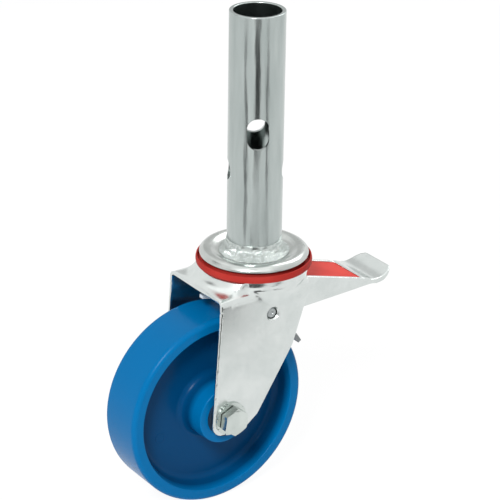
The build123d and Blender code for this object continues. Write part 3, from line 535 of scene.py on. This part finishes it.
# fork: one sheet with two legs, its crown drawn up into a drum that swells over the legs
forkShape = {
    "side": [(-51.8, -27.4), (-59.2, -137.0, 9.0), (-31.5, -137.6, 5.0), (-18.5, -127.5), (12.5, -78.0),
             (27.0, -35.4), (27.0, -27.4)],
    "halfWidth": 35.0, "sheet": 3.0, "bend": 5.0, "bendSteps": 8, "crownZ": -27.4, "steps": 160,
    "drum": [(0, -19.0), (39.1, -19.0, 1.0), (39.1, -24.9, 0.5), (40.3, -25.5, 0.4), (40.2, -27.5),
             (0, -27.5)],
    "swell": [(0, -24.9), (39.1, -24.9), (40.2, -25.6), (39.3, -29.6), (38.0, -33.2), (36.3, -37.0),
              (35.0, -39.8), (34.0, -43.0), (0, -43.0)],
    "swellGap": [(-60, -50), (60, -50), (60, -20), (-60, -20)],
    "root": [(0, -27.9), (55.0, -27.9), (55.0, -27.35), (50.5, -26.9), (47.0, -25.6), (44.3, -23.4),
             (42.4, -20.6), (41.2, -19.2), (0, -19.2)],
    "rootBand": [(-51.3, -40), (-2, -40), (-2, -10), (-51.3, -10)], "rootReach": 30.0,
    "hollow": [(0, -22.0), (37.2, -22.0), (37.2, -24.5), (36.3, -28.6), (35.0, -32.2), (33.3, -36.0),
               (32.0, -38.8), (32.0, -45.0), (0, -45.0)],
    "topHole": 16.0, "topHoleZ": -22.0, "topHoleDepth": 30.0,
    "skin": 0.75, "skinPasses": 3,
    # the blend from the swell into the legs, the drum's root on the crown, and the shelf round the drum
    "legBlend": {"x": (-43.0, 18.0), "y": (33.5, 200), "z": (-50.0, -28.0), "passes": 45},
    "rootBlend": {"x": (-200, 0), "y": (-1, 34.0), "z": (-28.5, -19.3), "outside": 39.7, "passes": 36},
    "shelfBlend": {"y": (18.0, 200), "z": (-27.5, -24.0), "outside": 38.5, "passes": 4},
    # the front edges of the legs, from beside the axle up to just under the crown
    "frontEdge": {"depth": 1.6, "beyond": 31.0, "z": (-128.0, -36.0), "passes": 8},
}
wide = forkShape["halfWidth"]
steps = forkShape["steps"]
fork = blocked("pressedFork", forkShape["side"], -wide, wide)
choose(fork, edit=True)
pick("EDGE", lambda middle, row: middle.z > forkShape["crownZ"] - near and abs(middle.y) > wide - near)
bpy.ops.mesh.bevel(offset=forkShape["bend"], segments=forkShape["bendSteps"], affect="EDGES")
pick("FACE", lambda middle, row: abs(row.normal.y) < 0.05 and row.normal.z < 0.9)
bpy.ops.mesh.delete(type="FACE")
deselectAll()
modify(fork, "SOLIDIFY", thickness=forkShape["sheet"], offset=-1.0, use_even_offset=True)
inside = wide - forkShape["sheet"]
swell = turned("swell", forkShape["swell"], steps)
combine(swell, blocked("gapCutter", forkShape["swellGap"], -inside, inside), "DIFFERENCE")
combine(fork, swell, "UNION")
combine(fork, turned("drum", forkShape["drum"], steps), "UNION")
root = turned("rootFlare", forkShape["root"], steps)
band = forkShape["rootReach"]
combine(root, blocked("rootBand", forkShape["rootBand"], -band, band), "INTERSECT")
combine(fork, root, "UNION")
combine(fork, turned("hollowCutter", forkShape["hollow"], steps), "DIFFERENCE")
topHole = bar("topHoleCutter", forkShape["topHole"], forkShape["topHoleDepth"],
              (0, 0, forkShape["topHoleZ"]), (0, 0, 0))
combine(fork, topHole, "DIFFERENCE")
modify(fork, "REMESH", mode="VOXEL", voxel_size=forkShape["skin"])
choose(fork, edit=True)
bpy.ops.mesh.vertices_smooth(factor=0.5, repeat=forkShape["skinPasses"])
for name in ("legBlend", "rootBlend", "shelfBlend"):
    rub(forkShape[name])
(topX, topZ), (lowX, lowZ) = forkShape["side"][0][:2], forkShape["side"][1][:2]
lean = (lowX - topX) / (lowZ - topZ)
front = forkShape["frontEdge"]
pick("VERT", lambda middle, row: abs(middle.y) > front["beyond"] and front["z"][0] < middle.z < front["z"][1]
     and middle.x < topX + lean * (middle.z - topZ) + front["depth"])
bpy.ops.mesh.vertices_smooth(factor=0.5, repeat=front["passes"])
deselectAll()
combine(fork, bar("axleHoleCutter", axle["hole"], cutterLength, axleCentre, acrossTurn), "DIFFERENCE")
combine(fork, bar("pivotHoleCutter", pivot["hole"], cutterLength, pivotCentre, acrossTurn), "DIFFERENCE")
mouth = [(0, pivot["mouthTop"]), (pivot["mouth"], pivot["mouthTop"]),
         (pivot["mouth"], pivot["mouthEdge"]), (pivot["hole"], pivot["mouthFoot"]), (0, pivot["mouthFoot"])]
for way in (1, -1):
    cone = [(r, way * h) for r, h in mouth]
    combine(fork, turned("mouthCutter", cone, 64, pivotCentre, "Y"), "DIFFERENCE")
finishPiece(fork, "fork", ["fork"], finishes["zinc_steel"])


# a hexagon along the axle with the bevelled end of a bolt head or nut
def hexBlock(name, flats, seat, height, turn, drop=4.2, inset=0.4):
    block = bar(name, flats / 2 / cos(pi / 6), abs(height), (axle["x"], seat + height / 2, axle["z"]),
                (pi / 2, radians(turn), 0), 6)
    end = seat + height
    low = end - drop * height / abs(height)
    corners = [(0, seat), (flats, seat), (flats, low), (flats / 2 - inset, end), (0, end)]
    combine(block, turned("bevelCone", corners, 96, axleCentre, "Y"), "INTERSECT")
    return block


# washers: a serrated one under the bolt's head, a plain one under the nut
washerShape = {"radius": 13.0, "plain": 12.0, "thickness": 1.8, "teeth": 28, "toothShare": 0.1, "notch": 0.9,
               "rounding": 0.3, "edge": 0.15}
seat = wide + washerShape["thickness"]

# axle bolt: head on the near leg with a gap and a round face under it, thread turned past the nut
boltShape = {"flats": 19.0, "gap": 0.7, "face": 8.6, "faceDepth": 1.5, "head": 7.5, "headTurn": 6.0,
             "end": 50.8, "tip": 1.2, "lead": 1.0, "pitch": 1.75, "turns": 8, "thread": 0.9, "edge": 0.2}
rings = []
for k in range(boltShape["turns"]):
    start = boltShape["end"] - boltShape["lead"] - k * boltShape["pitch"]
    rings.append((axle["radius"], start))
    rings.append((axle["radius"] - boltShape["thread"], start - boltShape["pitch"] / 2))
faceEnd = -seat - boltShape["faceDepth"]
shank = [(0, boltShape["end"]), (axle["radius"] - boltShape["tip"], boltShape["end"])] + rings
shank += [(axle["radius"], rings[-1][1] - boltShape["lead"]), (axle["radius"], -seat),
          (boltShape["face"], -seat), (boltShape["face"], faceEnd), (0, faceEnd)]
bolt = hexBlock("axleBolt", boltShape["flats"], -seat - boltShape["gap"],
                boltShape["gap"] - boltShape["head"], boltShape["headTurn"])
combine(bolt, turned("shank", shank, 64, axleCentre, "Y"), "UNION")
finishPiece(bolt, "fork", ["axle_bolt"], boltFinish, boltShape["edge"])

# self-locking nut on the far leg
nutShape = {"flats": 19.0, "height": 7.4, "turn": 25.0, "cutter": 40.0, "cutterY": 42.0, "edge": 0.2,
            "collar": [(0, 43.8), (8.3, 43.8), (8.3, 46.8, 1.3), (0, 46.8)]}
nut = hexBlock("axleNut", nutShape["flats"], seat, nutShape["height"], nutShape["turn"])
combine(nut, turned("collar", nutShape["collar"], 64, axleCentre, "Y"), "UNION")
nutHole = bar("nutHoleCutter", axle["hole"], nutShape["cutter"], (axle["x"], nutShape["cutterY"], axle["z"]),
              acrossTurn)
combine(nut, nutHole, "DIFFERENCE")
finishPiece(nut, "fork", ["axle_nut"], boltFinish, nutShape["edge"])

# the washers' notches are cut by drawing every fourth corner in
washerCentre = (axle["x"], -wide - washerShape["thickness"] / 2, axle["z"])
washer = bar("lockWasher", washerShape["radius"], washerShape["thickness"], washerCentre, acrossTurn,
             4 * washerShape["teeth"])
choose(washer, edit=True)
tooth = 360.0 / washerShape["teeth"]
pick("VERT", lambda middle, row: degrees(atan2(middle.z - axle["z"], middle.x - axle["x"])) % tooth
     < washerShape["toothShare"] * tooth)
notch = washerShape["notch"]
bpy.ops.transform.resize(value=(notch, 1.0, notch), center_override=axleCentre)
deselectAll()
combine(washer, bar("washerHoleCutter", axle["hole"], cutterLength, axleCentre, acrossTurn), "DIFFERENCE")
plain = [(axle["hole"], wide), (washerShape["plain"], wide),
         (washerShape["plain"], seat, washerShape["rounding"]), (axle["hole"], seat)]
combine(washer, turned("flatWasher", plain, 96, axleCentre, "Y"), "UNION")
finishPiece(washer, "fork", ["axle_washers"], boltFinish, washerShape["edge"])

# pivot pin: set a little below the legs' faces, with a centre mark at each end
pinEnd = [(0, 31.4), (1.4, 33.4, 0.2), (3.3, 33.6, 0.6), (3.9, 33.0), (3.9, 31.0)]
pinSection = [(r, -h, *rest) for r, h, *rest in pinEnd] + [tuple(row) for row in reversed(pinEnd)]
pin = turned("pivotPin", pinSection, 64, pivotCentre, "Y", rounding=3)
finishPiece(pin, "fork", ["pivot_pin"], pinFinish)

# brake lever: a channel open upwards with a scooped foot pad, folded from the same sheet
leverShape = {
    "side": [(-24.0, -49.0), (-24.0, -41.0), (-6.3, -40.0), (17.7, -39.5), (35.7, -33.8, 6.0), (91.0, -49.0),
             (101.7, -53.2), (101.7, -56.2), (34.2, -59.4), (-6.3, -56.0)],
    "hollow": [(-21.0, -64.0), (-21.0, -30.8), (88.0, -30.8), (88.0, -52.0), (34.2, -56.4), (6.74, -54.1),
               (6.74, -64.0)],
    "pad": [(91.0, -49.0), (101.2, -54.4, 20.0), (117.3, -46.4), (118.1, -49.0), (107.7, -55.4, 6.0),
            (101.7, -56.2), (96.0, -55.0)],
    "plan": [(-30.0, -20.5), (118.1, -20.5, 9.0), (118.1, 20.5, 11.0), (-30.0, 20.5)],
    "planZ": (-80.0, -20.0),
    "halfWidth": 20.5, "sheet": 3.0, "bend": 3.5, "bendSteps": 6, "skin": 0.55, "skinPasses": 4,
    "padBlend": {"x": (84.0, 97.0), "passes": 14}, "cutter": 60.0,
}
wide = leverShape["halfWidth"]
lever = blocked("brakeLever", leverShape["side"], -wide, wide)
choose(lever, edit=True)
floorMiddle = (leverShape["side"][-2][0] + leverShape["side"][-3][0]) / 2
pick("EDGE", lambda middle, row: abs(middle.y) > wide - near and abs(middle.x - floorMiddle) < 0.5)
bpy.ops.mesh.bevel(offset=leverShape["bend"], segments=leverShape["bendSteps"], affect="EDGES")
deselectAll()
inside = wide - leverShape["sheet"]
combine(lever, blocked("channelCutter", leverShape["hollow"], -inside, inside), "DIFFERENCE")
combine(lever, blocked("pad", leverShape["pad"], -wide, wide, rounding=10), "UNION")
combine(lever, blocked("padPlan", leverShape["plan"], *leverShape["planZ"], plan=True), "INTERSECT")
modify(lever, "REMESH", mode="VOXEL", voxel_size=leverShape["skin"])
choose(lever, edit=True)
bpy.ops.mesh.vertices_smooth(factor=0.5, repeat=leverShape["skinPasses"])
rub(leverShape["padBlend"])
deselectAll()
leverHole = bar("leverHoleCutter", pivot["hole"], leverShape["cutter"], pivotCentre, acrossTurn)
combine(lever, leverHole, "DIFFERENCE")
finishPiece(lever, "lever", ["brake_lever"], finishes["zinc_steel"])

# red insert in the lever's channel
insertShape = {"side": [(34.2, -56.3), (34.2, -34.7), (35.7, -34.7), (87.7, -49.0), (87.7, -51.92)],
               "halfWidth": 17.2, "edge": 0.5}
insert = blocked("pedalInsert", insertShape["side"], -insertShape["halfWidth"], insertShape["halfWidth"])
finishPiece(insert, "lever", ["pedal_insert"], finishes["red_polymer"], insertShape["edge"])

# brake shoe: an arc beside the tread, and a foot under the lever's floor
shoeShape = {"arcX": -33.96, "arcZ": -127.97, "inner": 75.4, "outer": 78.4,
             "start": 31.0, "end": 71.0, "steps": 24,
             "foot": [(-2.86, -56.29), (24.74, -58.61), (24.74, -61.61), (-2.86, -59.29)],
             "above": [(34.2, -59.4), (34.2, -18.0), (-48.0, -18.0), (-48.0, -52.5)],
             "halfWidth": 17.0, "edge": 0.35}


# a point of the shoe's arc in the side view
def fromArc(radius, angle):
    turn = radians(angle)
    return (shoeShape["arcX"] + radius * cos(turn), shoeShape["arcZ"] + radius * sin(turn))


count = shoeShape["steps"]
sweep = [shoeShape["start"] + k * (shoeShape["end"] - shoeShape["start"]) / count for k in range(count + 1)]
arc = [fromArc(shoeShape["inner"], angle) for angle in sweep]
arc += [fromArc(shoeShape["outer"], angle) for angle in reversed(sweep)]
reach = shoeShape["halfWidth"]
shoe = blocked("brakeShoe", arc, -reach, reach)
combine(shoe, blocked("foot", shoeShape["foot"], -reach, reach), "UNION")
combine(shoe, blocked("footCutter", shoeShape["above"], -2 * reach, 2 * reach), "DIFFERENCE")
finishPiece(shoe, "lever", ["brake_shoe"], finishes["spring_steel"], shoeShape["edge"])

# lock pawl: a blade whose tooth rises into the lock ring, its nose showing under the crown
pawlShape = {"side": [(-24.0, -48.0), (-24.0, -42.0), (-27.31, -39.6), (-27.31, -35.6), (-31.71, -35.6),
                      (-33.71, -37.4), (-47.0, -35.8), (-47.0, -38.6), (-36.0, -41.4), (-33.0, -46.4)],
             "halfWidth": 2.0, "edge": 0.4}
pawl = blocked("lockPawl", pawlShape["side"], -pawlShape["halfWidth"], pawlShape["halfWidth"])
finishPiece(pawl, "lever", ["lock_pawl"], bladeFinish, pawlShape["edge"])
print("stage: pieces")

# plain pale floor under the wheel, and a white surround; ambient is what lights the castor, and white and
# glow are what the camera and mirrors see
stageSizes = {"floorZ": cadBox[0].z - 0.0002, "floorSize": 6.0, "ambient": 0.3, "white": 1.03,
              "paper": 0.9, "glow": 1.06, "glowShare": 0.88}
deselectAll()
bpy.ops.mesh.primitive_plane_add(size=stageSizes["floorSize"], location=(0, 0, stageSizes["floorZ"]))
floor = bpy.context.object
floor.name = "studioFloor"
paper = bpy.data.materials.new("whitePaperFloor")
paper.use_nodes = True
tree = paper.node_tree
tree.nodes.clear()


# one for camera, glossy and transmission rays, which see plain white
def seenRays(tree):
    path = addNode(tree, "LightPath")
    seen = addNode(tree, "Math", {"operation": "MAXIMUM"},
                   {0: (path, "Is Camera Ray"), 1: (path, "Is Glossy Ray")})
    return addNode(tree, "Math", {"operation": "MAXIMUM"},
                   {0: (seen, "Value"), 1: (path, "Is Transmission Ray")})


share = addNode(tree, "Math", {"operation": "MULTIPLY", 1: stageSizes["glowShare"]},
                {0: (seenRays(tree), "Value")})
matt = addNode(tree, "BsdfDiffuse", {"Color": grey(stageSizes["paper"])})
glow = addNode(tree, "Emission", {"Color": grey(1.0), "Strength": stageSizes["glow"]})
mixed = addNode(tree, "MixShader", {}, {0: (share, "Value"), 1: (matt, "BSDF"), 2: (glow, "Emission")})
addNode(tree, "OutputMaterial", links={"Surface": (mixed, "Shader")})
floor.data.materials.append(paper)

world = bpy.data.worlds.new("whiteStudio")
bpy.context.scene.world = world
world.use_nodes = True
tree = world.node_tree
tree.nodes.clear()
level = addNode(tree, "MapRange", {"To Min": stageSizes["ambient"], "To Max": stageSizes["white"]},
                {"Value": (seenRays(tree), "Value")})
sky = addNode(tree, "Background", {"Color": grey(1.0)}, {"Strength": (level, "Result")})
addNode(tree, "OutputWorld", links={"Surface": (sky, "Background")})

# cards round the set, which only reflections show: each runs from one edge to the other, given by distance,
# height and azimuth. The leaning dark ones give the photo's streaks on the tube, and the band card the dark
# patch on the drum. The crown card tones down what faces up, and the soft box brightens it
cards = {
    "leftCard": {"from": (0.5, -0.21, -161.0), "to": (0.5, 0.0, -170.0), "width": 0.08, "level": 0.12},
    "middleCard": {"from": (0.5, -0.125, -119.0), "to": (0.5, 0.03, -121.0), "width": 0.21, "level": 0.02},
    "rightLowCard": {"from": (0.5, -0.215, -102.0), "to": (0.5, -0.16, -75.0), "width": 0.052, "level": 0.3},
    "rightHighCard": {"from": (0.5, -0.16, -75.0), "to": (0.5, 0.0, -84.0), "width": 0.065, "level": 0.15},
    "drumCard": {"from": (0.3, -0.19, -122.0), "to": (0.3, -0.13, -122.0), "width": 0.24, "level": 0.02},
    "bandCard": {"from": (0.1, -0.064, -119.0), "to": (0.1, -0.038, -119.0), "width": 0.04, "level": 0.05},
    "footCard": {"from": (0.3, -0.19, -72.0), "to": (0.3, -0.13, -72.0), "width": 0.065, "level": 0.1},
    "frontCard": {"from": (0.2, 0.5, -125.0), "to": (0.32, 0.5, -125.0), "width": 0.09, "level": 0.1},
    "backCard": {"from": (0.6, 0.42, 132.0), "to": (0.6, 0.62, 132.0), "width": 0.2, "level": 0.1},
    "crownCard": {"from": (0.55, 0.13, 55.0), "to": (0.55, 0.42, 55.0), "width": 0.42, "level": 0.68},
    "softBox": {"from": (-0.6, 0.95, -125.0), "to": (1.0, 0.95, -125.0), "width": 1.3, "level": 1.35},
}
for name, card in cards.items():
    corners = []
    for distance, height, azimuth in (card["from"], card["to"]):
        out = Vector((cos(radians(azimuth)), sin(radians(azimuth)), 0.0))
        aside = Vector((-out.y, out.x, 0.0)) * card["width"] / 2
        corners += [out * distance + Vector((0.0, 0.0, height)) + way * aside for way in (-1, 1)]
    panel = drawChain(name, [corners[0], corners[1], corners[3], corners[2]])
    bpy.ops.mesh.edge_face_add()
    deselectAll()
    panel.visible_camera = panel.visible_diffuse = panel.visible_transmission = panel.visible_shadow = False
    felt = bpy.data.materials.new(name + "Felt")
    felt.use_nodes = True
    felt.node_tree.nodes.clear()
    dark = addNode(felt.node_tree, "Emission", {"Color": grey(card["level"]), "Strength": 1.0})
    addNode(felt.node_tree, "OutputMaterial", links={"Surface": (dark, "Emission")})
    panel.data.materials.append(felt)

lamps = {
    "keyLamp": {"place": (-1.1, -0.9, 1.2), "size": 0.5, "power": 28.0},
    "fillLamp": {"place": (1.0, 0.4, 1.2), "size": 0.9, "power": 9.0},
}
aimedAt = Vector((0.0, 0.0, -0.03))
for name, lamp in lamps.items():
    light = bpy.data.lights.new(name, "AREA")
    light.size = lamp["size"]
    light.energy = lamp["power"]
    holder = bpy.data.objects.new(name, light)
    bpy.context.scene.collection.objects.link(holder)
    holder.location = lamp["place"]
    holder.rotation_mode = "QUATERNION"
    holder.rotation_quaternion = (aimedAt - holder.location).to_track_quat("-Z", "Y")
print("stage: floor and light")
